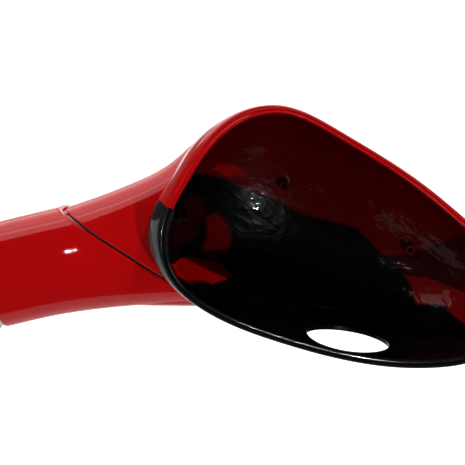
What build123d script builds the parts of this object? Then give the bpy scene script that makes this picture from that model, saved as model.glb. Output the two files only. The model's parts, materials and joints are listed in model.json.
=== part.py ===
from build123d import *
from math import cos, radians, sin
import os

os.makedirs("parts", exist_ok=True)

# Right-hand car door mirror, millimetres.
# Everything is drawn about the fold axis: X outboard, Y towards the car's nose, Z up,
# origin on the fold axis in the middle of the fold gap. save() moves it to the door face.

# Fold joint
GAP = 0.8              # half of the gap between head and arm
STEM_R = 8.0           # hollow pivot post
STEM_BORE_R = 5.0
RUNNING = 0.04         # radial clearance of post in bush
STOP_R = 18.0          # radius at which the stop pin sits
STOP_ANGLE = 170.0
FOLD_BACK = 65.0       # degrees, rearwards
FOLD_FORWARD = 45.0

# Housing
WALL = 2.6
LIP = 6.0              # width of the rim round the mouth
RIM_Y = -46.0          # rear face of the rim
BELLY_Y = -33.0        # section just behind the rim
WIDE_Y = -20.0         # section from which the housing runs back to the nose
NOSE_DEPTH = 74.0      # that section to the nose
NOSE_X, NOSE_Z = 98.0, 60.0
RIM = [
    (127.3, 141.6), (160.8, 137.4), (200.0, 126.0), (222.0, 100.0), (219.0, 72.0), (201.0, 52.0),
    (159.0, 27.6), (111.0, 11.6), (57.6, 3.1), (30.0, 9.7), (11.8, 30.2), (5.0, 62.0),
    (5.5, 89.4), (13.0, 116.2), (33.0, 135.7), (71.3, 142.0),
]
BELLY = [
    (126.0, 140.9), (159.8, 136.6), (199.6, 125.2), (221.5, 99.5), (219.0, 72.0), (200.6, 52.0),
    (157.6, 27.4), (108.5, 10.5), (54.0, 1.9), (25.5, 5.3), (2.8, 25.0), (-0.4, 61.0),
    (0.8, 89.5), (11.6, 115.6), (32.5, 134.6), (70.4, 140.8),
]
WIDE = [
    (125.0, 140.2), (158.8, 135.8), (199.2, 124.4), (221.0, 99.0), (218.9, 72.0), (200.2, 52.0),
    (156.6, 27.6), (106.6, 11.8), (51.8, 3.0), (25.0, 10.6), (9.1, 32.4), (-1.6, 62.0),
    (0.6, 89.0), (12.6, 114.2), (33.6, 132.6), (70.0, 139.2),
]
# Line where the painted upper shell meets the black lower shell
JOINT_LINE = [
    (-30.0, 43.0), (10.0, 47.5), (60.0, 53.0), (110.0, 62.0), (152.0, 75.0), (185.0, 90.5),
    (240.0, 119.0),
]

# Neck between fold gap and housing: height, left edge, near edge, far edge
NECK = [
    (GAP, -53.2, -23.5, 23.5), (18.0, -39.3, -24.0, 24.0), (35.0, -26.5, -24.5, 25.0),
    (52.0, -15.0, -25.0, 24.0), (68.0, -7.3, -24.0, 19.0), (82.0, -3.0, -19.0, 11.0),
    (96.0, 2.0, -12.0, 4.0),
]
NECK_RIGHT = 64.0
SKIN = 2.8

# Arm: distance along it towards the door, upper edge and under edge from its centre line,
# half depth in Y. The sections above the fold gap are trimmed back to it.
ARM_TILT = 46.0
ARM_MID = (-48.8, -42.7)      # point of the centre line that distances start from
ARM = [
    (-112.0, -33.0, 54.0, 23.5), (-75.0, -34.0, 45.3, 23.5), (-38.0, -34.6, 39.1, 23.2),
    (0.0, -35.0, 36.1, 22.6),
]
COVER_END = 33.5
FLANGE_FROM, FLANGE_TO = 42.0, 50.0
GASKET = 2.0
STUD_PCD = 34.0

U = (-cos(radians(ARM_TILT)), -sin(radians(ARM_TILT)))      # towards the door
N = (sin(radians(ARM_TILT)), -cos(radians(ARM_TILT)))       # towards the underside
DOOR = FLANGE_TO + GASKET
DOOR_X = ARM_MID[0] + DOOR * U[0]
DOOR_Z = ARM_MID[1] + DOOR * U[1]


def save(solid, name):
    """Move a finished piece to the door-face frame and write it."""
    placed = Pos(-DOOR_X, 0, -DOOR_Z) * solid
    placed.label = name
    export_step(placed, "parts/" + name + ".step")


def inset(points, amount):
    """Shift a clockwise closed outline inwards along its normals."""
    moved = []
    for i, (x, z) in enumerate(points):
        before = points[i - 1]
        after = points[(i + 1) % len(points)]
        tx, tz = after[0] - before[0], after[1] - before[1]
        length = (tx * tx + tz * tz) ** 0.5
        moved.append((x + amount * tz / length, z - amount * tx / length))
    return moved


def section_y(k, depth):
    """Depth at which the housing has shrunk to the share k of its widest outline."""
    return WIDE_Y + depth * (1 - k * k) ** (1 / 2.4)


def head_outline(y, k, amount):
    """Outline of the housing at depth y, shrunk to the share k about the nose."""
    t = (min(y, WIDE_Y) - RIM_Y) / (BELLY_Y - RIM_Y)
    shares = ((t - 1) * (t - 2) / 2, t * (2 - t), t * (t - 1) / 2)
    placed = []
    for corners in zip(RIM, BELLY, WIDE):
        x = sum(share * corner[0] for share, corner in zip(shares, corners))
        z = sum(share * corner[1] for share, corner in zip(shares, corners))
        placed.append((NOSE_X + (x - NOSE_X) * k, NOSE_Z + (z - NOSE_Z) * k))
    return inset(placed, amount)


def head_sketch(y, k, amount):
    with BuildSketch(Plane.XZ.offset(-y)) as sketch:
        with BuildLine():
            Spline(*head_outline(y, k, amount), periodic=True)
        make_face()
    return sketch.sketch


def head_sections(first_y, amount, depth):
    """Sections of a housing volume from its mouth to the nose."""
    sections = [head_sketch(y, 1.0, amount) for y in (first_y, BELLY_Y, WIDE_Y)]
    for k in (0.995, 0.97, 0.9, 0.78, 0.62, 0.42, 0.22, 0.12):
        sections.append(head_sketch(section_y(k, depth), k, amount))
    return sections


def oval(left, right, near, far, count=16, power=3.0):
    """Flat-sided closed curve, as points, between four edges."""
    a, b = (right - left) / 2, (far - near) / 2
    cx, cy = (right + left) / 2, (far + near) / 2
    points = []
    for i in range(count):
        angle = 2 * 3.14159265 * i / count
        c, s = cos(angle), sin(angle)
        x = abs(c) ** (2 / power) * (1 if c >= 0 else -1)
        y = abs(s) ** (2 / power) * (1 if s >= 0 else -1)
        points.append((cx + a * x, cy + b * y))
    return points


def neck_sections(amount, right):
    sections = []
    for height, left, near, far in NECK:
        with BuildSketch(Plane.XY.offset(height)) as sketch:
            with BuildLine():
                Spline(*oval(left + amount, right, near + amount, far - amount), periodic=True)
            make_face()
        sections.append(sketch.sketch)
    return sections


def along(distance):
    """Plane across the arm, facing the door, its local x towards the underside."""
    x = ARM_MID[0] + distance * U[0]
    z = ARM_MID[1] + distance * U[1]
    return Plane(origin=(x, 0, z), x_dir=(N[0], 0, N[1]), z_dir=(U[0], 0, U[1]))


def under(distance, height):
    """Plane facing the underside of the arm, at a height from its centre line."""
    x = ARM_MID[0] + distance * U[0] + height * N[0]
    z = ARM_MID[1] + distance * U[1] + height * N[1]
    return Plane(origin=(x, 0, z), x_dir=(0, 1, 0), z_dir=(N[0], 0, N[1]))


def arm_sections(amount, end):
    """Sections of an arm volume, shrunk all round, from above the gap to the door end."""
    sections = []
    for distance, upper, lower, half in [*ARM, (end, *ARM[-1][1:])]:
        with BuildSketch(along(distance)) as sketch:
            with BuildLine():
                points = oval(upper + amount, lower - amount, amount - half, half - amount)
                Spline(*points, periodic=True)
            make_face()
        sections.append(sketch.sketch)
    return sections


def wall_plane(y, offset):
    """Plane on the inboard wall of the housing, facing into it, above the neck."""
    k = (1 - ((y - WIDE_Y) / NOSE_DEPTH) ** 2.4) ** 0.5
    x = NOSE_X + (9.1 - NOSE_X) * k
    z = NOSE_Z + (32.4 - NOSE_Z) * k
    lean = radians(25.0)
    out = (cos(lean), 0, sin(lean))
    return Plane(origin=(x + offset * out[0], y, z + offset * out[2]), x_dir=(0, 1, 0), z_dir=out)


# ---- Volumes the pieces are cut from ----
with BuildPart() as head_outer:
    loft(sections=head_sections(RIM_Y, 0.0, NOSE_DEPTH))

with BuildPart() as head_cavity:
    loft(sections=head_sections(-42.5, WALL, NOSE_DEPTH - WALL))

with BuildPart() as head_grown:
    loft(sections=head_sections(RIM_Y, -4.0, NOSE_DEPTH + 4.0))

with BuildPart() as mouth:
    with BuildSketch(Plane.XZ.offset(-RIM_Y + 1)):
        with BuildLine():
            Spline(*head_outline(RIM_Y, 1.0, LIP), periodic=True)
        make_face()
    extrude(amount=-7)

with BuildPart() as upper_zone:
    with BuildSketch(Plane.XZ.offset(60)):
        with BuildLine():
            Spline(*JOINT_LINE)
            Polyline(JOINT_LINE[-1], (240, 200), (-30, 200), JOINT_LINE[0])
        make_face()
    extrude(amount=-130)

with BuildPart() as lower_bowl:
    add(head_outer.part)
    add(upper_zone.part, mode=Mode.SUBTRACT)

with BuildPart() as neck_outer:
    loft(sections=neck_sections(0.0, NECK_RIGHT))

with BuildPart() as neck_hollow:
    loft(sections=neck_sections(SKIN, 27.0)[:-1])
    add(head_outer.part, mode=Mode.SUBTRACT)

with BuildPart() as above_gap:
    with BuildSketch(Plane.XY.offset(-GAP)):
        Rectangle(400, 100)
    extrude(amount=120)

with BuildPart() as arm_outer:
    loft(sections=arm_sections(0.0, COVER_END))
    add(above_gap.part, mode=Mode.SUBTRACT)

with BuildPart() as arm_inner:
    loft(sections=arm_sections(SKIN, COVER_END + 2))

# ---- Head: painted upper shell with the neck ----
# Bosses that hold the glass carrier: x, depth of the rear face, z
CARRIER_UP = [(159.1, 33.0, 93.9), (63.0, 38.0, 84.3)]
CARRIER_LOW = (111.2, -8.0, 20.6)
CARRIER_R, CARRIER_BORE_R, CARRIER_BORE = 3.6, 1.6, 8.0
PLATE = 5.0                                    # head bracket base plate
NECK_SCREWS = [(-33.0, 9.0), (-33.0, -9.0), (16.5, 10.5), (16.5, -10.5)]

with BuildPart() as upper_bosses:
    for x, face, z in CARRIER_UP:
        with BuildSketch(Plane.XZ.offset(-face)):
            with Locations((x, z)):
                Circle(CARRIER_R)
        extrude(amount=-40)
    add(head_outer.part, mode=Mode.INTERSECT)

with BuildPart() as neck_bosses:
    with BuildSketch(Plane.XY.offset(GAP + PLATE)):
        with Locations(*NECK_SCREWS):
            Circle(4.2)
        for x, y in NECK_SCREWS:
            with Locations((x, y + (7.0 if y > 0 else -7.0))):
                Rectangle(4, 14)
    extrude(amount=30)
    add(neck_outer.part, mode=Mode.INTERSECT)
    add(lower_bowl.part, mode=Mode.SUBTRACT)

with BuildPart() as upper_shell:
    add(head_outer.part)
    add(neck_outer.part)
    add(head_cavity.part, mode=Mode.SUBTRACT)
    add(neck_hollow.part, mode=Mode.SUBTRACT)
    add(mouth.part, mode=Mode.SUBTRACT)
    add(lower_bowl.part, mode=Mode.SUBTRACT)
    add(upper_bosses.part)
    add(neck_bosses.part)
    for x, face, z in CARRIER_UP:
        with BuildSketch(Plane.XZ.offset(-face)):
            with Locations((x, z)):
                Circle(CARRIER_BORE_R)
        extrude(amount=-CARRIER_BORE, mode=Mode.SUBTRACT)
    with BuildSketch(Plane.XY.offset(GAP + PLATE)):
        with Locations(*NECK_SCREWS):
            Circle(2.0)
    extrude(amount=6, mode=Mode.SUBTRACT)
save(upper_shell.part, "upper_shell")

# ---- Head: gloss black lower shell with the oval opening ----
OVAL_X, OVAL_Y, OVAL_Z = 149.0, -12.5, 30.0
OVAL_LONG, OVAL_SHORT, OVAL_TILT, OVAL_TURN = 27.5, 20.5, 27.0, 13.0
EAR_SCREWS = (-7.0, 5.0)                       # depths of the screws into the bracket's ear
EAR_SCREW_SEAT = 5.2                           # how far inside the wall their heads start

with BuildPart() as lower_bosses:
    with BuildSketch(Plane.XZ.offset(-CARRIER_LOW[1])):
        with Locations((CARRIER_LOW[0], CARRIER_LOW[2])):
            Circle(CARRIER_R)
    extrude(amount=-60)
    add(head_outer.part, mode=Mode.INTERSECT)

with BuildPart() as lower_shell:
    add(lower_bowl.part)
    add(head_cavity.part, mode=Mode.SUBTRACT)
    add(mouth.part, mode=Mode.SUBTRACT)
    add(lower_bosses.part)
    with BuildSketch(Plane.XZ.offset(-CARRIER_LOW[1])):
        with Locations((CARRIER_LOW[0], CARRIER_LOW[2])):
            Circle(CARRIER_BORE_R)
    extrude(amount=-CARRIER_BORE, mode=Mode.SUBTRACT)
    with BuildSketch(Plane(origin=(OVAL_X, OVAL_Y, OVAL_Z), x_dir=(cos(radians(OVAL_TILT)), 0,
                     sin(radians(OVAL_TILT))), z_dir=(-sin(radians(OVAL_TILT)), 0,
                     cos(radians(OVAL_TILT))))):
        Ellipse(OVAL_LONG, OVAL_SHORT, rotation=OVAL_TURN)
    extrude(amount=30, both=True, mode=Mode.SUBTRACT)
    for y in EAR_SCREWS:
        with BuildSketch(wall_plane(y, -3)):
            Circle(1.8)
        extrude(amount=9, mode=Mode.SUBTRACT)
save(lower_shell.part, "lower_shell")

# ---- Head: cast bracket inside the neck ----
HUB_R, HUB_TOP = 15.0, 14.0
FLANGE_R, FLANGE_T = 13.0, 3.0
POST_SCREW_R, POST_SCREW_ANGLES = 10.6, (60.0, 180.0, 300.0)
STOP_PIN_R = 2.5
STOP_SLOT_R = 2.8
SLOT_START = STOP_ANGLE - FOLD_FORWARD - 9.5
SLOT_SPAN = FOLD_FORWARD + FOLD_BACK + 19

with BuildPart() as bracket_room:
    loft(sections=neck_sections(SKIN + 0.4, 26.5)[:-1])

with BuildPart() as bracket_ear:
    with BuildSketch(Plane.XY.offset(GAP)):
        with Locations((15, -1)):
            Rectangle(34, 36)
    extrude(amount=42)
    add(head_grown.part, mode=Mode.INTERSECT)
    add(bracket_room.part, mode=Mode.INTERSECT)
    with BuildSketch(Plane.XY.offset(GAP + PLATE)):
        with Locations(*NECK_SCREWS):
            Circle(4.6)
        for x, y in NECK_SCREWS:
            with Locations((x, y + (7.0 if y > 0 else -7.0))):
                Rectangle(5, 14)
    extrude(amount=40, mode=Mode.SUBTRACT)

with BuildPart() as bracket_web:
    with BuildSketch(Plane.XY.offset(GAP)):
        with Locations((19, 0)):
            Rectangle(15, 9)
    extrude(amount=22)
    add(bracket_room.part, mode=Mode.INTERSECT)

with BuildPart() as head_bracket:
    add(bracket_room.part)
    with BuildSketch(Plane.XY.offset(GAP)):
        Rectangle(200, 100)
    extrude(amount=PLATE, mode=Mode.INTERSECT)
    with BuildSketch(Plane.XY.offset(GAP)):
        Circle(HUB_R)
    extrude(amount=HUB_TOP - GAP)
    add(bracket_ear.part)
    add(bracket_web.part)
    add(head_outer.part, mode=Mode.SUBTRACT)
    with BuildSketch(Plane.XY.offset(HUB_TOP)):
        Circle(FLANGE_R + 0.3)
    extrude(amount=20, mode=Mode.SUBTRACT)
    with BuildSketch(Plane.XY.offset(GAP)):
        Circle(STEM_R)
    extrude(amount=40, mode=Mode.SUBTRACT)
    with BuildSketch(Plane.XY.offset(HUB_TOP)):
        with PolarLocations(POST_SCREW_R, 3, POST_SCREW_ANGLES[0], 360):
            Circle(1.5)
    extrude(amount=-10, mode=Mode.SUBTRACT)
    with BuildSketch(Plane.XY.offset(GAP)):
        with Locations(*NECK_SCREWS):
            Circle(2.1)
    extrude(amount=PLATE, mode=Mode.SUBTRACT)
    with BuildSketch(Plane.XY.offset(GAP)):
        with Locations(*NECK_SCREWS):
            Circle(4.0)
    extrude(amount=3, mode=Mode.SUBTRACT)
    for y in EAR_SCREWS:
        with BuildSketch(wall_plane(y, -8)):
            Circle(1.5)
        extrude(amount=12, mode=Mode.SUBTRACT)
    with BuildSketch(Plane.XY.offset(GAP)) as slot:
        with BuildLine():
            CenterArc((0, 0), STOP_R, SLOT_START, SLOT_SPAN)
        trace(line_width=2 * STOP_SLOT_R)
    extrude(amount=4.4, mode=Mode.SUBTRACT)
save(head_bracket.part, "head_bracket")

with BuildPart() as bracket_screws:
    with BuildSketch(Plane.XY.offset(GAP + 0.4)):
        with Locations(*NECK_SCREWS):
            Circle(3.6)
    extrude(amount=2.6)
    with BuildSketch(Plane.XY.offset(GAP + 3.0)):
        with Locations(*NECK_SCREWS):
            Circle(1.9)
    extrude(amount=7.5)
    with BuildSketch(Plane.XY.offset(GAP + 0.4)):
        with Locations(*NECK_SCREWS):
            RegularPolygon(1.6, 6)
    extrude(amount=1.4, mode=Mode.SUBTRACT)
save(bracket_screws.part, "bracket_screws")

with BuildPart() as shell_screws:
    for y in EAR_SCREWS:
        with BuildSketch(wall_plane(y, -5)):
            Circle(1.4)
        extrude(amount=EAR_SCREW_SEAT + 5)
        with BuildSketch(wall_plane(y, EAR_SCREW_SEAT)):
            Circle(2.9)
        extrude(amount=2.2)
save(shell_screws.part, "shell_screws")

# ---- Fold pivot, carried by the head ----
STEM_END = -31.0
HUB_UNDER = -13.0
WASHER_T, SEAT_T, RING_T = 1.5, 2.0, 1.3
SPRING_TOP = HUB_UNDER - 0.05 - WASHER_T
SEAT_TOP = -26.0
RING_TOP = SEAT_TOP - SEAT_T
WIRE_R, COIL_R = 1.2, 10.6

with BuildPart() as pivot_post:
    with BuildSketch(Plane.XY.offset(HUB_TOP)):
        Circle(FLANGE_R)
    extrude(amount=FLANGE_T)
    with BuildSketch(Plane.XY.offset(HUB_TOP)):
        Circle(STEM_R)
    extrude(amount=STEM_END - HUB_TOP)
    with BuildSketch(Plane.XY.offset(HUB_TOP + FLANGE_T)):
        Circle(STEM_BORE_R)
    extrude(amount=STEM_END - HUB_TOP - FLANGE_T, mode=Mode.SUBTRACT)
    with BuildSketch(Plane.XY.offset(HUB_TOP)):
        with PolarLocations(POST_SCREW_R, 3, POST_SCREW_ANGLES[0], 360):
            Circle(1.6)
    extrude(amount=FLANGE_T, mode=Mode.SUBTRACT)
    with BuildSketch(Plane.XY.offset(RING_TOP)):
        Circle(STEM_R + 1)
        Circle(STEM_R - 1, mode=Mode.SUBTRACT)
    extrude(amount=-RING_T, mode=Mode.SUBTRACT)
save(pivot_post.part, "pivot_post")

with BuildPart() as post_screws:
    with BuildSketch(Plane.XY.offset(HUB_TOP + FLANGE_T)):
        with PolarLocations(POST_SCREW_R, 3, POST_SCREW_ANGLES[0], 360):
            Circle(2.3)
    extrude(amount=2.2)
    with BuildSketch(Plane.XY.offset(HUB_TOP + FLANGE_T)):
        with PolarLocations(POST_SCREW_R, 3, POST_SCREW_ANGLES[0], 360):
            Circle(1.4)
    extrude(amount=-12)
save(post_screws.part, "post_screws")

with BuildPart() as thrust_washer:
    with BuildSketch(Plane.XY.offset(HUB_UNDER - 0.05)):
        Circle(13.0)
        Circle(STEM_R + 0.1, mode=Mode.SUBTRACT)
    extrude(amount=-WASHER_T)
save(thrust_washer.part, "thrust_washer")

with BuildPart() as fold_spring:
    with BuildLine():
        coil = Helix(pitch=3.6, height=SPRING_TOP - SEAT_TOP - 2 * WIRE_R - 0.1, radius=COIL_R,
                     center=(0, 0, SEAT_TOP + WIRE_R + 0.05))
    with BuildSketch(Plane(origin=coil @ 0, z_dir=coil % 0)):
        Circle(WIRE_R)
    sweep()
save(fold_spring.part, "fold_spring")

with BuildPart() as spring_seat:
    with BuildSketch(Plane.XY.offset(SEAT_TOP)):
        Circle(12.6)
        Circle(STEM_R + 0.1, mode=Mode.SUBTRACT)
    extrude(amount=-SEAT_T)
save(spring_seat.part, "spring_seat")

with BuildPart() as retaining_ring:
    with BuildSketch(Plane.XY.offset(RING_TOP)):
        Circle(10.4)
        Circle(STEM_R - 0.95, mode=Mode.SUBTRACT)
        with Locations((0, 8.5)):
            Rectangle(4, 6, mode=Mode.SUBTRACT)
    extrude(amount=-RING_T)
save(retaining_ring.part, "retaining_ring")

# ---- Arm: painted cover over a cast frame ----
PAD_AT = (4.0, 26.0)
PAD_R = 5.0
HEAD_SEAT = 34.3               # seat of the sunk screw heads, from the arm's centre line
HUB_OUT_R = 15.5

with BuildPart() as arm_cover:
    add(arm_outer.part)
    add(arm_inner.part, mode=Mode.SUBTRACT)
    for distance in PAD_AT:
        with BuildSketch(under(distance, 0)):
            Circle(2.1)
        extrude(amount=60, mode=Mode.SUBTRACT)
        with BuildSketch(under(distance, HEAD_SEAT)):
            Circle(3.7)
        extrude(amount=10, mode=Mode.SUBTRACT)
save(arm_cover.part, "arm_cover")

with BuildPart() as arm_core:
    loft(sections=arm_sections(9.0, FLANGE_FROM + 1))

with BuildPart() as arm_core_hollow:
    loft(sections=arm_sections(13.0, FLANGE_FROM))
    with BuildSketch(Plane.XY.offset(-GAP - 4.9)):
        Rectangle(400, 100)
    extrude(amount=120, mode=Mode.SUBTRACT)

with BuildPart() as arm_frame:
    loft(sections=arm_sections(SKIN + 0.4, COVER_END + 2))
    with BuildSketch(Plane.XY.offset(-GAP - 4.9)):
        Rectangle(400, 100)
    extrude(amount=-150, mode=Mode.SUBTRACT)
    add(arm_core.part)
    add(above_gap.part, mode=Mode.SUBTRACT)
    with BuildSketch(along(FLANGE_FROM)):
        with BuildLine():
            Spline(*oval(-37, 37, -24, 24), periodic=True)
        make_face()
    extrude(amount=FLANGE_TO - FLANGE_FROM)
    for distance in PAD_AT:
        with BuildSketch(under(distance, 18)):
            Circle(PAD_R)
        extrude(amount=14.3)
    add(arm_core_hollow.part, mode=Mode.SUBTRACT)
    with BuildSketch(Plane.XY.offset(HUB_UNDER)):
        Circle(HUB_OUT_R)
    extrude(amount=-30, mode=Mode.SUBTRACT)
    with BuildSketch(Plane.XY.offset(-GAP)):
        Circle(HUB_OUT_R)
    extrude(amount=HUB_UNDER + GAP)
    with BuildSketch(Plane.XY.offset(-GAP)):
        Circle(9.5)
    extrude(amount=-20, mode=Mode.SUBTRACT)
    with BuildSketch(Plane.XY.offset(-GAP)):
        with Locations((STOP_R * cos(radians(STOP_ANGLE)), STOP_R * sin(radians(STOP_ANGLE)))):
            Circle(STOP_PIN_R)
    extrude(amount=-8, mode=Mode.SUBTRACT)
    with BuildSketch(along(FLANGE_TO)):
        Circle(7.0)
        with PolarLocations(STUD_PCD / 2, 3, 90, 360):
            Circle(2.8)
        with Locations((29, 0)):
            Circle(2.3)
    extrude(amount=-9, mode=Mode.SUBTRACT)
    for distance in PAD_AT:
        with BuildSketch(under(distance, 20)):
            Circle(1.7)
        extrude(amount=20, mode=Mode.SUBTRACT)
save(arm_frame.part, "arm_frame")

with BuildPart() as arm_cover_screws:
    for distance in PAD_AT:
        with BuildSketch(under(distance, 24)):
            Circle(1.6)
        extrude(amount=HEAD_SEAT - 24)
        with BuildSketch(under(distance, HEAD_SEAT)):
            Circle(3.4)
        extrude(amount=1.5)
save(arm_cover_screws.part, "arm_cover_screws")

with BuildPart() as pivot_bush:
    with BuildSketch(Plane.XY.offset(-GAP)):
        Circle(9.5)
        Circle(STEM_R + RUNNING, mode=Mode.SUBTRACT)
    extrude(amount=HUB_UNDER + GAP)
save(pivot_bush.part, "pivot_bush")

with BuildPart() as friction_disc:
    with BuildSketch(Plane.XY.offset(-GAP)):
        Circle(14.4)
        Circle(STEM_R + 0.3, mode=Mode.SUBTRACT)
    extrude(amount=2 * GAP - 0.05)
save(friction_disc.part, "friction_disc")

with BuildPart() as stop_pin:
    with BuildSketch(Plane.XY.offset(-GAP - 8)):
        with Locations((STOP_R * cos(radians(STOP_ANGLE)), STOP_R * sin(radians(STOP_ANGLE)))):
            Circle(STOP_PIN_R)
    extrude(amount=8 + 2 * GAP + 3.6)
save(stop_pin.part, "stop_pin")

with BuildPart() as fold_seal:
    with BuildSketch(Plane.XY.offset(-GAP)):
        with BuildLine():
            Spline(*oval(-47.6, 58.4, -19.4, 19.4), periodic=True)
        make_face()
        with BuildLine():
            Spline(*oval(-45.4, 56.2, -17.2, 17.2), periodic=True)
        make_face(mode=Mode.SUBTRACT)
    extrude(amount=2 * GAP - 0.4)
save(fold_seal.part, "fold_seal")

# ---- Door end ----
with BuildPart() as door_gasket:
    with BuildSketch(along(FLANGE_TO)):
        with BuildLine():
            Spline(*oval(-38, 38, -25, 25), periodic=True)
        make_face()
        Circle(7.0, mode=Mode.SUBTRACT)
        with PolarLocations(STUD_PCD / 2, 3, 90, 360):
            Circle(3.9, mode=Mode.SUBTRACT)
        with Locations((29, 0)):
            Circle(3.4, mode=Mode.SUBTRACT)
    extrude(amount=GASKET)
save(door_gasket.part, "door_gasket")

with BuildPart() as door_studs:
    with BuildSketch(along(FLANGE_FROM)):
        with PolarLocations(STUD_PCD / 2, 3, 90, 360):
            Circle(2.8)
    extrude(amount=DOOR - FLANGE_FROM)
    with BuildSketch(along(DOOR)):
        with PolarLocations(STUD_PCD / 2, 3, 90, 360):
            Circle(3.0)
    extrude(amount=18.0)
save(door_studs.part, "door_studs")

with BuildPart() as locating_pin:
    with BuildSketch(along(FLANGE_FROM + 1)):
        with Locations((29, 0)):
            Circle(2.3)
    extrude(amount=DOOR - FLANGE_FROM - 1)
    with BuildSketch(along(DOOR)):
        with Locations((29, 0)):
            Circle(2.5)
    extrude(amount=6.0)
save(locating_pin.part, "locating_pin")

with BuildPart() as cable_grommet:
    with BuildSketch(along(FLANGE_FROM)):
        Circle(6.9)
        Circle(4.5, mode=Mode.SUBTRACT)
    extrude(amount=DOOR - FLANGE_FROM)
save(cable_grommet.part, "cable_grommet")
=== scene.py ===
import bpy
import bmesh
import json
import math
import numpy as np
from mathutils import Matrix, Vector


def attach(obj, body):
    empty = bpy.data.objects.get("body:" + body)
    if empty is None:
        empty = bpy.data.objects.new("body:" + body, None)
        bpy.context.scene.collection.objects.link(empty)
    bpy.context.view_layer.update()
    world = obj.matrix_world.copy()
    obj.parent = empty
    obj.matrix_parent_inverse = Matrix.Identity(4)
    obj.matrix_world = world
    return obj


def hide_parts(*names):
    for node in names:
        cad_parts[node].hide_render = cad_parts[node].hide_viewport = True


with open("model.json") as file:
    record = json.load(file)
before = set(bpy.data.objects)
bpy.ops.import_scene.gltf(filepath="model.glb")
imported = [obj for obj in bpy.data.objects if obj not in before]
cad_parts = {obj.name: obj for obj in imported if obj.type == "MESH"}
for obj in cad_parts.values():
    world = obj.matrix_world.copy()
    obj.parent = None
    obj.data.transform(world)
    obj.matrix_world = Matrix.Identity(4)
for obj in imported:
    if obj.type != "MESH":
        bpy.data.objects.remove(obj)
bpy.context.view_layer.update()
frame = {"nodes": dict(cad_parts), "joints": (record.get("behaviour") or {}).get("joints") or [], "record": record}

# The shape is drawn about the fold axis in millimetres, as the CAD part is, and placed on the fold joint.
PIVOT = np.array(frame["joints"][0]["pos_m"])
GAP = 0.8                                        # half of the fold gap
RIM_Y, BELLY_Y, WIDE_Y = -46.0, -33.0, -20.0     # depths of the three outlines below
DEPTH = 74.0                                     # from the widest outline to the nose
WALL, SKIN = 2.6, 2.8                            # thickness of the housing, and of neck and arm
RIM_WIDTH = 5.4
RIM_EXTRA = 3.4                                  # how much wider the rim is inboard
NOSE_X, NOSE_Z = 98.0, 59.7
NOSE_POWER = 2.4                                 # how full the housing's back is
RIM = [(127.3, 141.6), (160.8, 137.4), (200.0, 126.0), (222.0, 100.0), (219.0, 72.0),
       (201.0, 52.0), (159.0, 27.6), (111.0, 11.6), (57.6, 3.1), (30.0, 9.7), (11.8, 30.2),
       (5.0, 62.0), (5.5, 89.4), (13.0, 116.2), (33.0, 135.7), (71.3, 142.0)]
BELLY = [(126.0, 140.9), (159.8, 136.6), (199.6, 125.2), (221.5, 99.5), (219.0, 72.0),
         (200.6, 52.0), (157.6, 27.4), (108.5, 10.5), (54.0, 1.9), (25.5, 5.3), (2.8, 25.0),
         (-0.4, 61.0), (0.8, 89.5), (11.6, 115.6), (32.5, 134.6), (70.4, 140.8)]
WIDE = [(125.0, 140.2), (158.8, 135.8), (199.2, 124.4), (221.0, 99.0), (218.9, 72.0),
        (200.2, 52.0), (156.6, 27.6), (106.6, 11.8), (51.8, 3.0), (25.0, 10.6), (9.1, 32.4),
        (-1.6, 62.0), (0.6, 89.0), (12.6, 114.2), (33.6, 132.6), (70.0, 139.2)]
JOINT = [(-30.0, 43.0), (10.0, 47.5), (60.0, 53.0), (110.0, 62.0), (152.0, 75.0),
         (185.0, 90.5), (240.0, 119.0)]
NECK = [(GAP, -53.2, -23.5, 23.5), (18.0, -39.3, -24.0, 24.0), (35.0, -26.5, -24.5, 25.0),
        (52.0, -15.0, -25.0, 24.0), (68.0, -7.3, -24.0, 19.0), (82.0, -3.0, -19.0, 11.0),
        (96.0, 2.0, -12.0, 4.0)]
NECK_RIGHT = 64.0
NECK_TOP = 96.0
BURIED = 0.985         # share of the housing's outline inside which the neck isn't drawn
ROUND = 1.1            # radius of the edges at the fold gap
ARM = [(-112.0, -33.0, 52.6, 23.5), (-75.0, -34.0, 44.8, 23.5), (-38.0, -34.6, 39.1, 23.2),
       (0.0, -35.0, 36.1, 22.6), (33.5, -35.0, 36.1, 22.6)]
COVER_END = 33.5       # the arm cover's end, along the arm towards the door
SCREWS_AT = (4.0, 26.0)
POCKET_R, POCKET_SEAT, POCKET_OUT = 3.7, 34.3, 46.0
TILT = math.radians(46.0)
MID = (-48.8, -42.7)
TO_DOOR = np.array([-math.cos(TILT), 0.0, -math.sin(TILT)])
TO_UNDER = np.array([math.sin(TILT), 0.0, -math.cos(TILT)])


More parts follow.
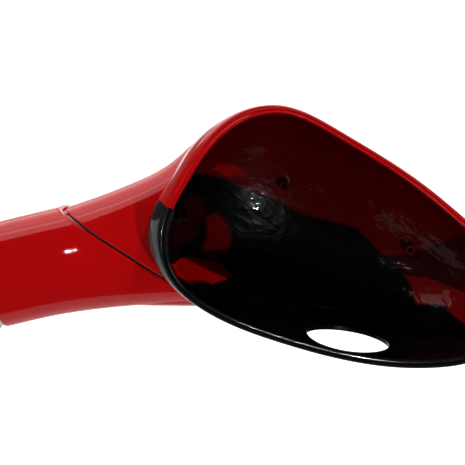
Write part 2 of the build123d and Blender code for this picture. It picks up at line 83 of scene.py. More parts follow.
# ---------- curves ----------
def spline(knots, values, at, closed=False):
    """Cubic spline through values at knots; natural ends, or periodic."""
    t = np.asarray(knots, float)
    v = np.asarray(values, float).reshape(len(values), -1)
    n, h = len(v), np.diff(t)
    if closed:
        d = (np.roll(v, -1, 0) - v) / h[:, None]
        a = np.zeros((n, n))
        for i in range(n):
            a[i, i] = 2 * (h[i - 1] + h[i])
            a[i, i - 1] += h[i - 1]
            a[i, (i + 1) % n] += h[i]
        m = np.linalg.solve(a, 6 * (d - np.roll(d, 1, 0)))
        v, m = np.vstack([v, v[:1]]), np.vstack([m, m[:1]])
    else:
        d = np.diff(v, axis=0) / h[:, None]
        a, b = np.eye(n), np.zeros_like(v)
        for i in range(1, n - 1):
            a[i, i - 1], a[i, i], a[i, i + 1] = h[i - 1], 2 * (h[i - 1] + h[i]), h[i]
            b[i] = 6 * (d[i] - d[i - 1])
        m = np.linalg.solve(a, b)
    at = np.asarray(at, float)
    i = np.clip(np.searchsorted(t, at, side="right") - 1, 0, len(t) - 2)
    w, hi = (at - t[i])[:, None], (t[i + 1] - t[i])[:, None]
    u = hi - w
    return ((m[i] * u ** 3 + m[i + 1] * w ** 3) / (6 * hi) + (v[i] / hi - m[i] * hi / 6) * u
            + (v[i + 1] / hi - m[i + 1] * hi / 6) * w)


def loop(points, count=1200):
    p = np.asarray(points, float)
    gaps = np.linalg.norm(np.roll(p, -1, 0) - p, axis=1)
    t = np.concatenate([[0], np.cumsum(gaps)])
    return spline(t, p, np.linspace(0, t[-1], count, endpoint=False), True)


def inward(p):
    """Unit normals into a clockwise closed curve."""
    d = np.roll(p, -1, 0) - np.roll(p, 1, 0)
    d /= np.linalg.norm(d, axis=1)[:, None]
    return np.c_[d[:, 1], -d[:, 0]]


def joint_z(x):
    j = np.array(JOINT)
    return spline(j[:, 0], j[:, 1], x)[:, 0]


def corners(y):
    """Corners of the outline at depth y, through rim, belly and widest outline."""
    t = (min(y, WIDE_Y) - RIM_Y) / (BELLY_Y - RIM_Y)
    rim, belly, wide = np.array(RIM), np.array(BELLY), np.array(WIDE)
    return rim * (t - 1) * (t - 2) / 2 + belly * t * (2 - t) + wide * t * (t - 1) / 2


def outline(y, k, amount, rim_share=0.0):
    """Housing outline at depth y. rim_share is a share of the rim's width, wider inboard."""
    p = loop(np.array([NOSE_X, NOSE_Z]) + (corners(y) - (NOSE_X, NOSE_Z)) * k)
    n = inward(p)
    width = RIM_WIDTH + RIM_EXTRA * np.clip(n[:, 0], 0, 1) ** 1.5
    return p + n * (amount * min(1.0, k / 0.3) + rim_share * width)[:, None]


def resample(p, count):
    s = np.concatenate([[0], np.cumsum(np.linalg.norm(np.diff(p, axis=0), axis=1))])
    t = np.linspace(0, s[-1], count)
    return np.c_[np.interp(t, s, p[:, 0]), np.interp(t, s, p[:, 1])]


def halves(p, count):
    """The part of a clockwise outline above the joint line, then the part below it."""
    f = p[:, 1] - joint_z(p[:, 0])
    n, up = len(p), f > 0
    a = [i for i in range(n) if not up[i] and up[(i + 1) % n]][0]
    b = [i for i in range(n) if up[i] and not up[(i + 1) % n]][0]

    def cross(i):
        j = (i + 1) % n
        return p[i] + f[i] / (f[i] - f[j]) * (p[j] - p[i])
    top = [cross(a)] + [p[(a + 1 + j) % n] for j in range((b - a) % n)] + [cross(b)]
    low = [cross(b)] + [p[(b + 1 + j) % n] for j in range((a - b) % n)] + [cross(a)]
    return resample(np.array(top), count), resample(np.array(low), count)


def oval(left, right, near, far, count, power=3.0):
    a = np.linspace(0, 2 * math.pi, 16, endpoint=False)
    c, s = np.cos(a), np.sin(a)
    x = (right + left) / 2 + (right - left) / 2 * np.abs(c) ** (2 / power) * np.sign(c)
    y = (far + near) / 2 + (far - near) / 2 * np.abs(s) ** (2 / power) * np.sign(s)
    return loop(np.c_[x, y], count)


def metres(x, y, z):
    return Vector(PIVOT + np.array([x, y, z]) / 1000)


# ---------- meshes ----------
def mesh_object(name, verts, faces, sharp=38.0):
    """Object from millimetre points about the fold axis, smooth but for edges over an angle."""
    mesh = bpy.data.meshes.new(name)
    mesh.from_pydata((np.asarray(verts) / 1000 + PIVOT).tolist(), [], faces)
    bm = bmesh.new()
    bm.from_mesh(mesh)
    bmesh.ops.remove_doubles(bm, verts=bm.verts, dist=2e-6)
    bmesh.ops.dissolve_degenerate(bm, dist=1e-7, edges=bm.edges)
    bmesh.ops.recalc_face_normals(bm, faces=bm.faces)
    finish_edges(bm, sharp)
    bm.to_mesh(mesh)
    bm.free()
    obj = bpy.data.objects.new(name, mesh)
    bpy.context.scene.collection.objects.link(obj)
    return obj


def finish_edges(bm, sharp):
    for f in bm.faces:
        f.smooth = True
    for e in bm.edges:
        if len(e.link_faces) == 2:
            e.smooth = e.calc_face_angle(0) < math.radians(sharp)


def grid_faces(rows, cols, closed, start=0):
    faces = []
    last = cols if closed else cols - 1
    for i in range(rows - 1):
        for j in range(last):
            k = (j + 1) % cols
            faces.append((start + i * cols + j, start + i * cols + k,
                          start + (i + 1) * cols + k, start + (i + 1) * cols + j))
    return faces


def rows_object(name, rows, closed=True, keep=None, sharp=38.0):
    """Object from a stack of rows of points."""
    rows = np.array(rows)
    n, m = rows.shape[:2]
    faces = grid_faces(n, m, closed)
    if keep is not None:
        flag = keep(rows.reshape(-1, 3))
        faces = [f for f in faces if flag[list(f)].any()]
    return mesh_object(name, rows.reshape(-1, 3), faces, sharp)


# Rim section: share of the rim's width, depth. From the outside of the housing to its inside.
RED_RIM = [(0.0, -43.6), (0.02, -44.8), (0.07, -45.6), (0.14, -46.0), (0.21, -45.85),
           (0.28, -45.3), (0.36, -44.7), (0.44, -44.6), (0.5, -45.0), (0.56, -45.2),
           (0.62, -45.0), (0.7, -44.2), (0.8, -42.9), (0.9, -41.4), (1.0, -39.6)]
BLACK_RIM = [(0.0, -43.2), (0.02, -44.8), (0.08, -45.7), (0.17, -46.0), (0.27, -45.9),
             (0.35, -45.2), (0.41, -44.2), (0.48, -43.9), (0.54, -44.4), (0.6, -45.2),
             (0.68, -45.6), (0.77, -45.3), (0.85, -44.4), (0.9, -43.0), (0.92, -41.0)]


def housing_rows(half, rim, count):
    """Rows from the outside of the nose round the rim to the inside of the nose."""
    ks = np.cos(np.linspace(math.pi / 2 - 0.01, 0, 64))
    outside = [(WIDE_Y + DEPTH * (1 - k * k) ** (1 / NOSE_POWER), k, 0.0, 0.0) for k in ks]
    outside += [(y, 1.0, 0.0, 0.0) for y in np.linspace(WIDE_Y, -42.6, 30)[1:]]
    inside = [(y, 1.0, WALL, 0.0) for y in np.linspace(-36.0, WIDE_Y, 29)]
    inside += [(WIDE_Y + (DEPTH - WALL) * (1 - k * k) ** (1 / NOSE_POWER), k, WALL, 0.0)
               for k in ks[::-1][1:]]
    levels = outside + [(y, 1.0, 0.0, share) for share, y in rim] + inside
    rows = []
    for y, k, amount, share in levels:
        p = halves(outline(y, k, amount, share), count)[half]
        rows.append(np.c_[p[:, 0], np.full(count, y), p[:, 1]])
    return rows, len(outside), len(inside)


def housing(name, half, rim, count=230):
    rows, n_out, n_in = housing_rows(half, rim, count)
    n = len(rows)
    faces = grid_faces(n, count, False)
    faces += [tuple(range(count)), tuple(range((n - 1) * count, n * count))]
    for col in (0, count - 1):
        at = [i * count + col for i in range(n)]
        for i in range(min(n_out, n_in) - 1):
            faces.append((at[i], at[i + 1], at[n - 2 - i], at[n - 1 - i]))
        i = min(n_out, n_in) - 1
        faces.append(tuple(at[i:n - i]))
    return mesh_object(name, np.array(rows).reshape(-1, 3), faces, 50.0)


def radius_share(p):
    """How far out a point lies, as a share of the housing's outline at its depth."""
    base = np.array([NOSE_X, NOSE_Z])
    d = p[:, [0, 2]] - base
    turn = np.arctan2(d[:, 1], d[:, 0])
    depths = np.linspace(RIM_Y, WIDE_Y, 27)
    full = []
    for y in depths:
        ring = loop(corners(y)) - base
        angle = np.arctan2(ring[:, 1], ring[:, 0])
        order = np.argsort(angle)
        full.append(np.interp(turn, angle[order], np.linalg.norm(ring, axis=1)[order],
                              period=2 * math.pi))
    step = np.clip((p[:, 1] - RIM_Y) / (WIDE_Y - RIM_Y) * 26, 0, 25.999)
    i = step.astype(int)
    full, at = np.array(full), np.arange(len(p))
    full = full[i, at] + (full[i + 1, at] - full[i, at]) * (step - i)
    t = np.clip((p[:, 1] - WIDE_Y) / DEPTH, 0, 0.999)
    return np.linalg.norm(d, axis=1) / (full * (1 - t ** NOSE_POWER) ** 0.5)


def boolean(obj, cutter, sharp=38.0):
    m = obj.modifiers.new("cut", "BOOLEAN")
    m.operation = "DIFFERENCE"
    m.solver = "EXACT"
    m.object = cutter
    bpy.context.view_layer.update()
    out = bpy.data.meshes.new_from_object(obj.evaluated_get(bpy.context.evaluated_depsgraph_get()))
    obj.modifiers.clear()
    obj.data = out
    bm = bmesh.new()
    bm.from_mesh(out)
    finish_edges(bm, sharp)
    bm.to_mesh(out)
    bm.free()
    bpy.data.objects.remove(cutter)


def prism(name, bottom, top):
    """Closed solid between two equal rings of points."""
    n = len(bottom)
    return mesh_object(name, np.vstack([bottom, top]),
                       grid_faces(2, n, True) + [tuple(range(n))[::-1], tuple(range(n, 2 * n))])


upper = housing("upper_skin", 0, RED_RIM)
lower = housing("lower_skin", 1, BLACK_RIM)

# Oval opening in the floor of the lower shell
OVAL_CENTRE, OVAL_LONG, OVAL_SHORT, OVAL_REACH = np.array([149.0, -12.5, 30.0]), 27.5, 20.5, 30
tilt, turn = math.radians(27.0), math.radians(13.0)
ex = np.array([math.cos(tilt), 0, math.sin(tilt)])
ez = np.array([-math.sin(tilt), 0, math.cos(tilt)])
a = np.linspace(0, 2 * math.pi, 120, endpoint=False)
u, v = OVAL_LONG * np.cos(a), OVAL_SHORT * np.sin(a)
u, v = u * math.cos(turn) - v * math.sin(turn), u * math.sin(turn) + v * math.cos(turn)
ring = OVAL_CENTRE + u[:, None] * ex + v[:, None] * np.array([0, 1.0, 0])
boolean(lower, prism("oval_cutter", ring - OVAL_REACH * ez, ring + OVAL_REACH * ez))

# Neck: closing face round the bracket's seat, rounded lower edge, then up into the housing
heights = np.array([s[0] for s in NECK])


def neck_row(z, amount=0.0, count=300):
    left, near, far = spline(heights, np.array([s[1:] for s in NECK]), [z])[0]
    p = oval(left + amount, NECK_RIGHT - amount, near + amount, far - amount, count)
    return np.c_[p, np.full(count, z)]


seat = np.c_[oval(-50.0, 26.6, -20.4, 20.4, 300), np.full(300, GAP)]
neck_rows = [seat + (0, 0, 2.0), seat]
for step in np.linspace(0, math.pi / 2, 7):
    neck_rows.append(neck_row(GAP + ROUND * (1 - math.cos(step)), ROUND * (1 - math.sin(step))))
for z in np.linspace(GAP + ROUND, NECK_TOP, 90)[1:]:
    neck_rows.append(neck_row(z))
neck = rows_object("neck_skin", neck_rows, keep=lambda p: radius_share(p) > BURIED)

# Arm cover: tube along the arm, trimmed at the fold gap
stations = np.array([s[0] for s in ARM])


def arm_ring(distance, amount=0.0, count=300):
    """Points round the arm at a distance towards the door."""
    up, low, half = spline(stations, np.array([s[1:] for s in ARM]), [distance])[0]
    p = oval(up + amount, low - amount, amount - half, half - amount, count)
    base = np.array([MID[0], 0, MID[1]]) + distance * TO_DOOR
    return base + p[:, :1] * TO_UNDER + p[:, 1:] * np.array([0, 1.0, 0])


def arm_columns(amount, top, low_end):
    """Tube rows from the door end to the height top, column by column."""
    dense = np.array([arm_ring(d, amount) for d in np.linspace(-111.0, low_end, 240)])
    count = dense.shape[1]
    rows = np.zeros((70, count, 3))
    for j in range(count):
        col = dense[:, j]
        i = np.where(col[:, 2] < top)[0][0]
        w = (top - col[i - 1, 2]) / (col[i, 2] - col[i - 1, 2])
        path = np.vstack([col[i - 1] + w * (col[i] - col[i - 1]), col[i:]])
        s = np.concatenate([[0], np.cumsum(np.linalg.norm(np.diff(path, axis=0), axis=1))])
        t = np.linspace(s[-1], 0, 70)
        rows[:, j] = np.c_[[np.interp(t, s, path[:, c]) for c in range(3)]].T
    return rows


tube = arm_columns(0.0, -GAP - ROUND, COVER_END - 0.8)
edge = tube[-1]
flat = inward(edge[::-1, :2])[::-1]
arm_rows = list(tube)
for step in np.linspace(0, math.pi / 2, 7)[1:]:
    arm_rows.append(edge + np.c_[flat * ROUND * (1 - math.cos(step)),
                                 np.full(len(edge), ROUND * math.sin(step))])
mouth = edge + np.c_[flat * (SKIN + 0.3), np.full(len(edge), ROUND)]
arm_rows += [mouth, mouth - (0, 0, 6.0)]
inner = [arm_ring(d, SKIN) for d in np.linspace(-30.0, COVER_END, 30)]
end = [arm_ring(COVER_END, SKIN), arm_ring(COVER_END, 0.9), arm_ring(COVER_END - 0.3, 0.25)]
arm = rows_object("arm_skin", inner + end + arm_rows + inner[:1])

# Pockets of the two sunk cover screws
for distance in SCREWS_AT:
    base = np.array([MID[0], 0, MID[1]]) + distance * TO_DOOR
    ring = base + POCKET_R * (np.cos(a)[:, None] * TO_DOOR + np.sin(a)[:, None] * np.array([0, 1.0, 0]))
    boolean(arm, prism("pocket_cutter", ring + POCKET_SEAT * TO_UNDER, ring + POCKET_OUT * TO_UNDER))

# Bosses of the glass carrier, and ribs, on the floor of the bowl
bpy.context.view_layer.update()
BOSS_R, BOSS_HOLE_R, BOSS_HOLE = 3.6, 1.6, 8


def floor_at(x, z, start=-36.0):
    """Point and normal of the inner skin straight ahead of x, z."""
    best = None
    for obj in (upper, lower):
        hit, at, normal, _ = obj.ray_cast(metres(x, start, z), Vector((0, 1, 0)))
        if hit and (best is None or at.y < best[0].y):
            best = (at.copy(), normal.copy())
    if best is None:
        return None
    p = (np.array(best[0]) - PIVOT) * 1000
    return p, np.array(best[1]) * (1 if best[1].y < 0 else -1)


def tube(name, points, radius, sides=10):
    """Round bar through points in millimetres, with closed ends."""
    rows = []
    for i, p in enumerate(points):
        d = points[min(i + 1, len(points) - 1)] - points[max(i - 1, 0)]
        d = d / np.linalg.norm(d)
        e1 = np.cross(d, (0, 1, 0))
        e1 /= np.linalg.norm(e1)
        e2 = np.cross(d, e1)
        t = np.linspace(0, 2 * math.pi, sides, endpoint=False)
        rows.append(p + radius * (np.cos(t)[:, None] * e1 + np.sin(t)[:, None] * e2))
    rows = [np.repeat(points[:1], sides, 0)] + rows + [np.repeat(points[-1:], sides, 0)]
    return rows_object(name, rows)


def rib(name, corners_xz, radius):
    path = resample(np.array(corners_xz), 60)
    found = [floor_at(x, z) for x, z in path]
    points = np.array([f[0] + f[1] * radius * 0.3 for f in found if f])
    return tube(name, points, radius)


def boss(name, x, face, z):
    """Screw boss: a tube with a blind hole, standing on the inner skin."""
    t = np.linspace(0, 2 * math.pi, 40, endpoint=False)
    rows = []
    for r, y in ((BOSS_R, face + 22), (BOSS_R, face + 0.4), (BOSS_R - 0.3, face),
                 (BOSS_HOLE_R + 0.3, face), (BOSS_HOLE_R, face + 0.3),
                 (BOSS_HOLE_R, face + BOSS_HOLE), (0.0, face + BOSS_HOLE)):
        rows.append(np.c_[x + r * np.cos(t), np.full(40, y), z + r * np.sin(t)])
    p = floor_at(x, z)[0]
    rows[0][:, 1] = max(p[1] + 1.2, face + BOSS_HOLE + 1)
    return rows_object(name, rows)


bosses = [(boss("carrier_boss_top", 159.1, 33.0, 93.9), "upper_shell"),
          (boss("carrier_boss_inboard", 63.0, 38.0, 84.3), "upper_shell"),
          (boss("carrier_boss_low", 111.2, -8.0, 20.6), "lower_shell")]
RIBS = {
    "rib_right_a": ([(153.4, 75.2), (164.0, 82.1), (181.5, 88.8), (198.0, 100.0)], 0.45, "upper_shell"),
    "rib_right_b": ([(165.5, 76.8), (175.6, 80.9), (191.6, 88.7), (200.0, 94.5)], 0.45, "upper_shell"),
    "rib_low": ([(46.0, 9.5), (57.8, 6.5), (74.0, 9.3), (88.6, 13.8), (108.5, 21.5), (127.6, 29.0),
                 (143.0, 36.0)], 0.4, "lower_shell"),
    "strap_top": ([(18.0, 63.0), (38.0, 60.0), (62.0, 56.5), (76.0, 55.5)], 0.5, "upper_shell"),
    "strap_low": ([(40.0, 42.0), (53.3, 39.5), (66.0, 45.0), (76.0, 50.5)], 0.45, "lower_shell"),
}
ribs = [(rib(name, pts, r), node) for name, (pts, r, node) in RIBS.items()]

for obj, node in [(upper, "upper_shell"), (neck, "upper_shell"), (lower, "lower_shell"),
                  (arm, "arm_cover")] + bosses + ribs:
    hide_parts(node)
    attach(obj, "arm" if node == "arm_cover" else "head")


# ---------- materials ----------
def material(name, color, roughness, metallic=0.0, coat=0.0, ior=1.5):
    m = bpy.data.materials.new(name)
    m.use_nodes = True
    nodes = m.node_tree.nodes
    shader = nodes["Principled BSDF"]
    shader.inputs["Base Color"].default_value = (*color, 1)
    shader.inputs["Roughness"].default_value = roughness
    shader.inputs["Metallic"].default_value = metallic
    shader.inputs["Coat Weight"].default_value = coat
    shader.inputs["Coat Roughness"].default_value = 0.03
    shader.inputs["IOR"].default_value = ior
    return m, nodes, m.node_tree.links, shader


def noise(nodes, links, coords, scale, detail=3.0, stretch=None):
    n = nodes.new("ShaderNodeTexNoise")
    n.inputs["Scale"].default_value = scale
    n.inputs["Detail"].default_value = detail
    if stretch:
        mapping = nodes.new("ShaderNodeMapping")
        mapping.inputs["Scale"].default_value = stretch
        links.new(coords, mapping.inputs["Vector"])
        coords = mapping.outputs["Vector"]
    links.new(coords, n.inputs["Vector"])
    return n.outputs["Fac"]


def ramp(nodes, links, value, stops):
    r = nodes.new("ShaderNodeValToRGB")
    while len(r.color_ramp.elements) < len(stops):
        r.color_ramp.elements.new(0.5)
    for e, (at, color) in zip(r.color_ramp.elements, stops):
        e.position = at
        e.color = (*color, 1) if len(color) == 3 else color
    links.new(value, r.inputs["Fac"])
    return r.outputs["Color"]


def add_bump(nodes, links, shader, height, strength, distance, coat=False):
    b = nodes.new("ShaderNodeBump")
    b.inputs["Strength"].default_value = strength
    b.inputs["Distance"].default_value = distance
    links.new(height, b.inputs["Height"])
    links.new(b.outputs["Normal"], shader.inputs["Normal"])
    if coat:
        links.new(b.outputs["Normal"], shader.inputs["Coat Normal"])


def tex(nodes):
    return nodes.new("ShaderNodeTexCoord").outputs["Object"]


def plain(name, color, roughness, metallic=0.0, scale=300.0, strength=0.15, coat=0.0):
    """Part finish with mottled tone, uneven sheen and a fine surface."""
    m, nodes, links, shader = material(name, color, roughness, metallic, coat)
    coords = tex(nodes)
    big = noise(nodes, links, coords, scale / 4)
    fine = noise(nodes, links, coords, scale * 4)
    dark = tuple(c * 0.75 for c in color)
    links.new(ramp(nodes, links, big, [(0.3, dark), (0.7, color)]), shader.inputs["Base Color"])
    lo, hi = max(0.02, roughness - 0.1), min(1.0, roughness + 0.1)
    links.new(ramp(nodes, links, fine, [(0.3, (lo,) * 3), (0.7, (hi,) * 3)]),
              shader.inputs["Roughness"])
    add_bump(nodes, links, shader, fine, strength, 0.0004)
    return m


def red_paint():
    m, nodes, links, shader = material("red_paint", (0.62, 0.0008, 0.0016), 0.45, coat=0.8)
    shader.inputs["Specular IOR Level"].default_value = 0.5
    shader.inputs["Specular Tint"].default_value = (1.0, 0.01, 0.015, 1)
    shader.inputs["Coat Roughness"].default_value = 0.015
    coords = tex(nodes)
    big = noise(nodes, links, coords, 14.0)
    links.new(ramp(nodes, links, big, [(0.25, (0.58, 0.0006, 0.0015)), (0.75, (0.68, 0.0008, 0.002))]),
              shader.inputs["Base Color"])
    haze = noise(nodes, links, coords, 60.0)
    links.new(ramp(nodes, links, haze, [(0.3, (0.3,) * 3), (0.7, (0.42,) * 3)]),
              shader.inputs["Roughness"])
    peel = noise(nodes, links, coords, 420.0, 2.0)
    add_bump(nodes, links, shader, peel, 0.05, 0.0003, coat=True)
    return m


def black_gloss():
    """Bare black moulding; the attribute "spray" says where red overspray reached it."""
    m, nodes, links, shader = material("black_gloss", (0.01, 0.01, 0.012), 0.3, coat=0.22)
    shader.inputs["Specular IOR Level"].default_value = 0.04
    shader.inputs["Coat Roughness"].default_value = 0.015
    coords = tex(nodes)
    spray = nodes.new("ShaderNodeAttribute")
    spray.attribute_name = "spray"
    ragged = noise(nodes, links, coords, 130.0, 5.0)
    total = nodes.new("ShaderNodeMath")
    total.operation = "MULTIPLY_ADD"
    links.new(ragged, total.inputs[0])
    total.inputs[1].default_value = 0.16
    links.new(spray.outputs["Fac"], total.inputs[2])
    tone = ramp(nodes, links, total.outputs[0],
                [(0.36, (0.001, 0.0011, 0.002)), (0.52, (0.012, 0.0008, 0.0015)),
                 (0.66, (0.065, 0.0006, 0.0012)), (0.88, (0.14, 0.0008, 0.0015)),
                 (1.0, (0.40, 0.0005, 0.0008))])
    links.new(tone, shader.inputs["Base Color"])
    wave = noise(nodes, links, coords, 75.0, 2.0, (1.0, 0.6, 1.6))
    links.new(ramp(nodes, links, wave, [(0.3, (0.25,) * 3), (0.7, (0.4,) * 3)]),
              shader.inputs["Roughness"])
    add_bump(nodes, links, shader, wave, 0.5, 0.002, coat=True)
    return m


def rim_black():
    m, nodes, links, shader = material("rim_black", (0.008, 0.008, 0.010), 0.12, coat=0.6)
    coords = tex(nodes)
    fine = noise(nodes, links, coords, 500.0)
    links.new(ramp(nodes, links, noise(nodes, links, coords, 40.0),
                   [(0.3, (0.006, 0.006, 0.008)), (0.7, (0.012, 0.010, 0.012))]),
              shader.inputs["Base Color"])
    links.new(ramp(nodes, links, fine, [(0.3, (0.08,) * 3), (0.7, (0.18,) * 3)]),
              shader.inputs["Roughness"])
    add_bump(nodes, links, shader, fine, 0.05, 0.0002)
    return m


RED, BLACK, EDGE = red_paint(), black_gloss(), rim_black()

FINISH = {
    "cast_aluminium": plain("cast_aluminium", (0.62, 0.63, 0.64), 0.42, 1.0, 250.0, 0.4),
    "zinc_steel": plain("zinc_steel", (0.6, 0.6, 0.57), 0.3, 1.0, 300.0, 0.1),
    "black_steel": plain("black_steel", (0.03, 0.03, 0.03), 0.4, 0.8, 300.0, 0.1),
    "spring_steel": plain("spring_steel", (0.3, 0.3, 0.31), 0.3, 1.0, 300.0, 0.1),
    "bearing_plastic": plain("bearing_plastic", (0.72, 0.7, 0.62), 0.45, 0.0, 200.0, 0.1),
    "seal_rubber": plain("seal_rubber", (0.012, 0.012, 0.012), 0.7, 0.0, 300.0, 0.3),
}
slots = {s["node"]: s["material_slot"] for s in frame["record"]["subparts"]}
for name, obj in frame["nodes"].items():
    obj.data.materials.clear()
    obj.data.materials.append(FINISH.get(slots[name], EDGE if slots[name] == "black_gloss" else RED))


def paint_faces(obj, materials, choose):
    """One material index for each face, from its centre about the fold axis in millimetres."""
    obj.data.materials.clear()
    for m in materials:
        obj.data.materials.append(m)
    count = len(obj.data.polygons)
    centre = np.zeros(count * 3)
    obj.data.polygons.foreach_get("center", centre)
    centre = (centre.reshape(-1, 3) - PIVOT) * 1000
    obj.data.polygons.foreach_set("material_index", choose(centre).astype(np.int32))


# Edge of the overspray inside the housing, as x, z; red lies above it
SPRAY_EDGE = [(0.0, 60.0), (16.0, 65.0), (24.0, 66.5), (38.6, 65.6), (62.7, 70.7), (83.7, 70.6),
              (104.6, 78.4), (121.1, 83.9), (145.5, 77.4), (166.7, 76.0), (173.9, 72.9), (183.0, 64.0),
              (189.3, 71.1), (200.6, 72.8), (215.0, 74.0)]
# Further sprayed areas, as outlines in x, z, each with its strength and the width of its edge
SPRAY_AREAS = [
    ([(12, 67), (18, 69), (27, 68.5), (36, 74), (38, 80), (28, 82), (16, 78)], 0.84, 4.0),
    ([(26, 40), (33, 46), (40, 45), (50, 38), (54, 30), (55, 22), (46, 15), (38, 18), (34, 28)],
     0.7, 6.0),
    ([(8, 20), (8, 52), (22, 54), (30, 44), (32, 24), (26, 14)], 0.46, 8.0),
    ([(26, 11), (34, 14.5), (43, 15.5), (55, 17.5), (60, 15.5), (66.5, 15.5), (62, 10.5),
      (57, 7.2), (44, 6.0), (34, 6.6)], 0.98, 1.5),
    ([(162, 77), (170, 78), (178, 83.5), (190, 87), (203, 91), (216, 96), (216, 75), (205, 73.5),
      (197, 75), (191, 71), (186, 66), (182, 63.5), (177, 69), (172, 73)], 0.98, 1.5),
]


def polygon_depth(p, corners_xz):
    """Signed distance of x, z points to an outline, positive inside."""
    q = np.array(corners_xz, float)
    best = np.full(len(p), 1e9)
    inside = np.zeros(len(p), bool)
    for a, b in zip(q, np.roll(q, -1, 0)):
        d = b - a
        t = np.clip(((p - a) @ d) / (d @ d), 0, 1)
        best = np.minimum(best, np.linalg.norm(p - a - t[:, None] * d, axis=1))
        crosses = (a[1] > p[:, 1]) != (b[1] > p[:, 1])
        with np.errstate(divide="ignore", invalid="ignore"):
            x = a[0] + (p[:, 1] - a[1]) / (b[1] - a[1]) * d[0]
        inside ^= crosses & (p[:, 0] < x)
    return np.where(inside, best, -best)


def spray_value(p):
    edge = np.interp(p[:, 0], *np.array(SPRAY_EDGE).T)
    value = 0.6 * np.clip(0.5 + (p[:, 2] - edge) / 5.0, 0.0, 1.0)
    for corners_xz, level, soft in SPRAY_AREAS:
        depth = polygon_depth(p[:, [0, 2]], corners_xz)
        deep = p[:, 1] > (4.0 if corners_xz[0][0] > 100 else -38.0)
        value = np.maximum(value, level * np.clip(0.5 + depth / soft, 0, 1) * deep)
    return value


def inside_face(p):
    """Faces of the inner skin: within the housing's outline by more than a millimetre."""
    share = radius_share(p)
    return (share < 0.975) & (p[:, 1] > -43.5) | (p[:, 1] > -38.5) & (share < 0.985)


paint_faces(upper, [RED, BLACK], lambda p: inside_face(p))
paint_faces(lower, [EDGE, BLACK], lambda p: inside_face(p))
for obj in [neck, arm] + [b[0] for b in bosses] + [r[0] for r in ribs]:
    obj.data.materials.clear()
    obj.data.materials.append(RED if obj in (neck, arm) else BLACK)
for obj in [upper, lower] + [b[0] for b in bosses] + [r[0] for r in ribs]:
    co = np.array([v.co for v in obj.data.vertices])
    at = obj.data.attributes.new("spray", "FLOAT", "POINT")
    at.data.foreach_set("value", spray_value((co - PIVOT) * 1000).astype(np.float32))


# ---------- stage ----------
def flat_material(name, color, strength):
    """Matt surface that glows along Y: faint near the mirror, at full strength behind it."""
    m = bpy.data.materials.new(name)
    m.use_nodes = True
    shader = m.node_tree.nodes["Principled BSDF"]
    shader.inputs["Base Color"].default_value = (*color, 1)
    shader.inputs["Roughness"].default_value = 0.9
    shader.inputs["Emission Color"].default_value = (1, 1, 1, 1)
    nodes, links = m.node_tree.nodes, m.node_tree.links
    split = nodes.new("ShaderNodeSeparateXYZ")
    links.new(tex(nodes), split.inputs[0])
    fade = nodes.new("ShaderNodeMapRange")
    links.new(split.outputs["Y"], fade.inputs["Value"])
    for slot, value in zip(("From Min", "From Max", "To Min", "To Max"), (0.3, 0.6, 0.08, strength)):
        fade.inputs[slot].default_value = value
    links.new(fade.outputs["Result"], shader.inputs["Emission Strength"])
    return m


ROLL, ELEV = math.radians(32.0), math.radians(12.0)
CAMERA_DISTANCE, CAMERA_LENS = 0.62, 72.73
aim = metres(49.5, 0.0, 45.5)
look = Vector((0, math.cos(ELEV), -math.sin(ELEV)))
right0, up0 = Vector((1, 0, 0)), Vector((0, math.sin(ELEV), math.cos(ELEV)))
cam_x = right0 * math.cos(ROLL) + up0 * math.sin(ROLL)
cam_y = up0 * math.cos(ROLL) - right0 * math.sin(ROLL)
camera = bpy.data.objects.new("camera", bpy.data.cameras.new("camera"))
bpy.context.scene.collection.objects.link(camera)
camera.data.sensor_width = 36.0
camera.data.lens = CAMERA_LENS
camera.data.clip_start = 0.02
camera.matrix_world = Matrix.Translation(aim - look * CAMERA_DISTANCE) @ Matrix(
    (cam_x, cam_y, -look)).transposed().to_4x4()
bpy.context.scene.camera = camera

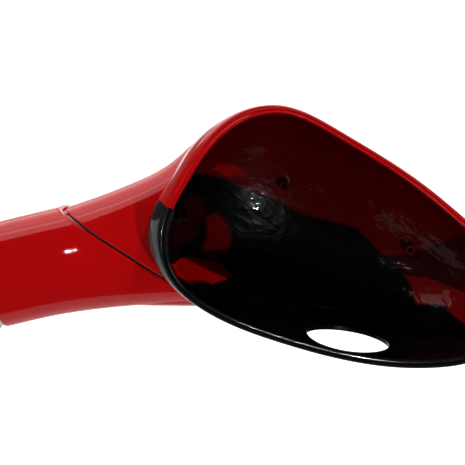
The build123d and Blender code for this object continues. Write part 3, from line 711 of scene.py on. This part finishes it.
white = flat_material("stage_white", (0.7, 0.7, 0.7), 1.0)
FLOOR_Z, FLOOR_SIDES, FLOOR_FRONT = -0.35, (-0.85, 1.15), -0.3
BEND_Y, BEND_R, BACK_TOP = 1.2, 0.6, 3.0
profile = [(FLOOR_FRONT, 0.0), (BEND_Y, 0.0)]
profile += [(BEND_Y + BEND_R * math.sin(t), BEND_R - BEND_R * math.cos(t))
            for t in np.linspace(0, 1.57, 16)[1:]]
profile += [(BEND_Y + BEND_R, BACK_TOP)]
verts = [(x, y, FLOOR_Z + z) for y, z in profile for x in FLOOR_SIDES]
mesh = bpy.data.meshes.new("stage_floor")
mesh.from_pydata(verts, [], [(2 * i, 2 * i + 1, 2 * i + 3, 2 * i + 2) for i in range(len(profile) - 1)])
mesh.polygons.foreach_set("use_smooth", [True] * len(mesh.polygons))
mesh.materials.append(white)
floor = bpy.data.objects.new("stage_floor", mesh)
bpy.context.scene.collection.objects.link(floor)


def softbox(name, place, width, height, power, towards=None):
    """Soft light at a place, facing the mirror, its width level with the picture."""
    light = bpy.data.lights.new(name, "AREA")
    light.shape = "RECTANGLE"
    light.size, light.size_y, light.energy = width, height, power
    obj = bpy.data.objects.new(name, light)
    z = (place - (towards or aim)).normalized()
    x = (cam_x - cam_x.dot(z) * z).normalized()
    obj.matrix_world = Matrix.Translation(place) @ Matrix((x, z.cross(x), z)).transposed().to_4x4()
    bpy.context.scene.collection.objects.link(obj)


def around(x, y, forward):
    """Place beside the mirror, along the picture's right, up and depth, in metres."""
    return aim + cam_x * x + cam_y * y + look * forward


softbox("top_box", around(-0.05, 0.75, 0.5), 1.9, 1.2, 10.0, around(-0.05, 0.0, 0.5))
softbox("left_box", around(-0.85, 0.75, -0.45), 0.8, 0.7, 3.0, around(-0.85, 0.0, -0.45))
softbox("left_card", around(-0.8, 0.55, -0.78), 0.7, 0.5, 1.7)
softbox("spot_left", metres(-235, -950, -300), 0.006, 0.006, 0.25)
softbox("spot_high", metres(-100, -390, 800), 0.012, 0.012, 2.5)
softbox("spot_right", metres(600, -650, -50), 0.012, 0.012, 2.5)

world = bpy.data.worlds.new("studio")
bpy.context.scene.world = world
world.use_nodes = True
world.node_tree.nodes["Background"].inputs["Color"].default_value = (0.9, 0.92, 0.95, 1)
world.node_tree.nodes["Background"].inputs["Strength"].default_value = 0.05
bpy.context.scene.view_settings.view_transform = "Standard"
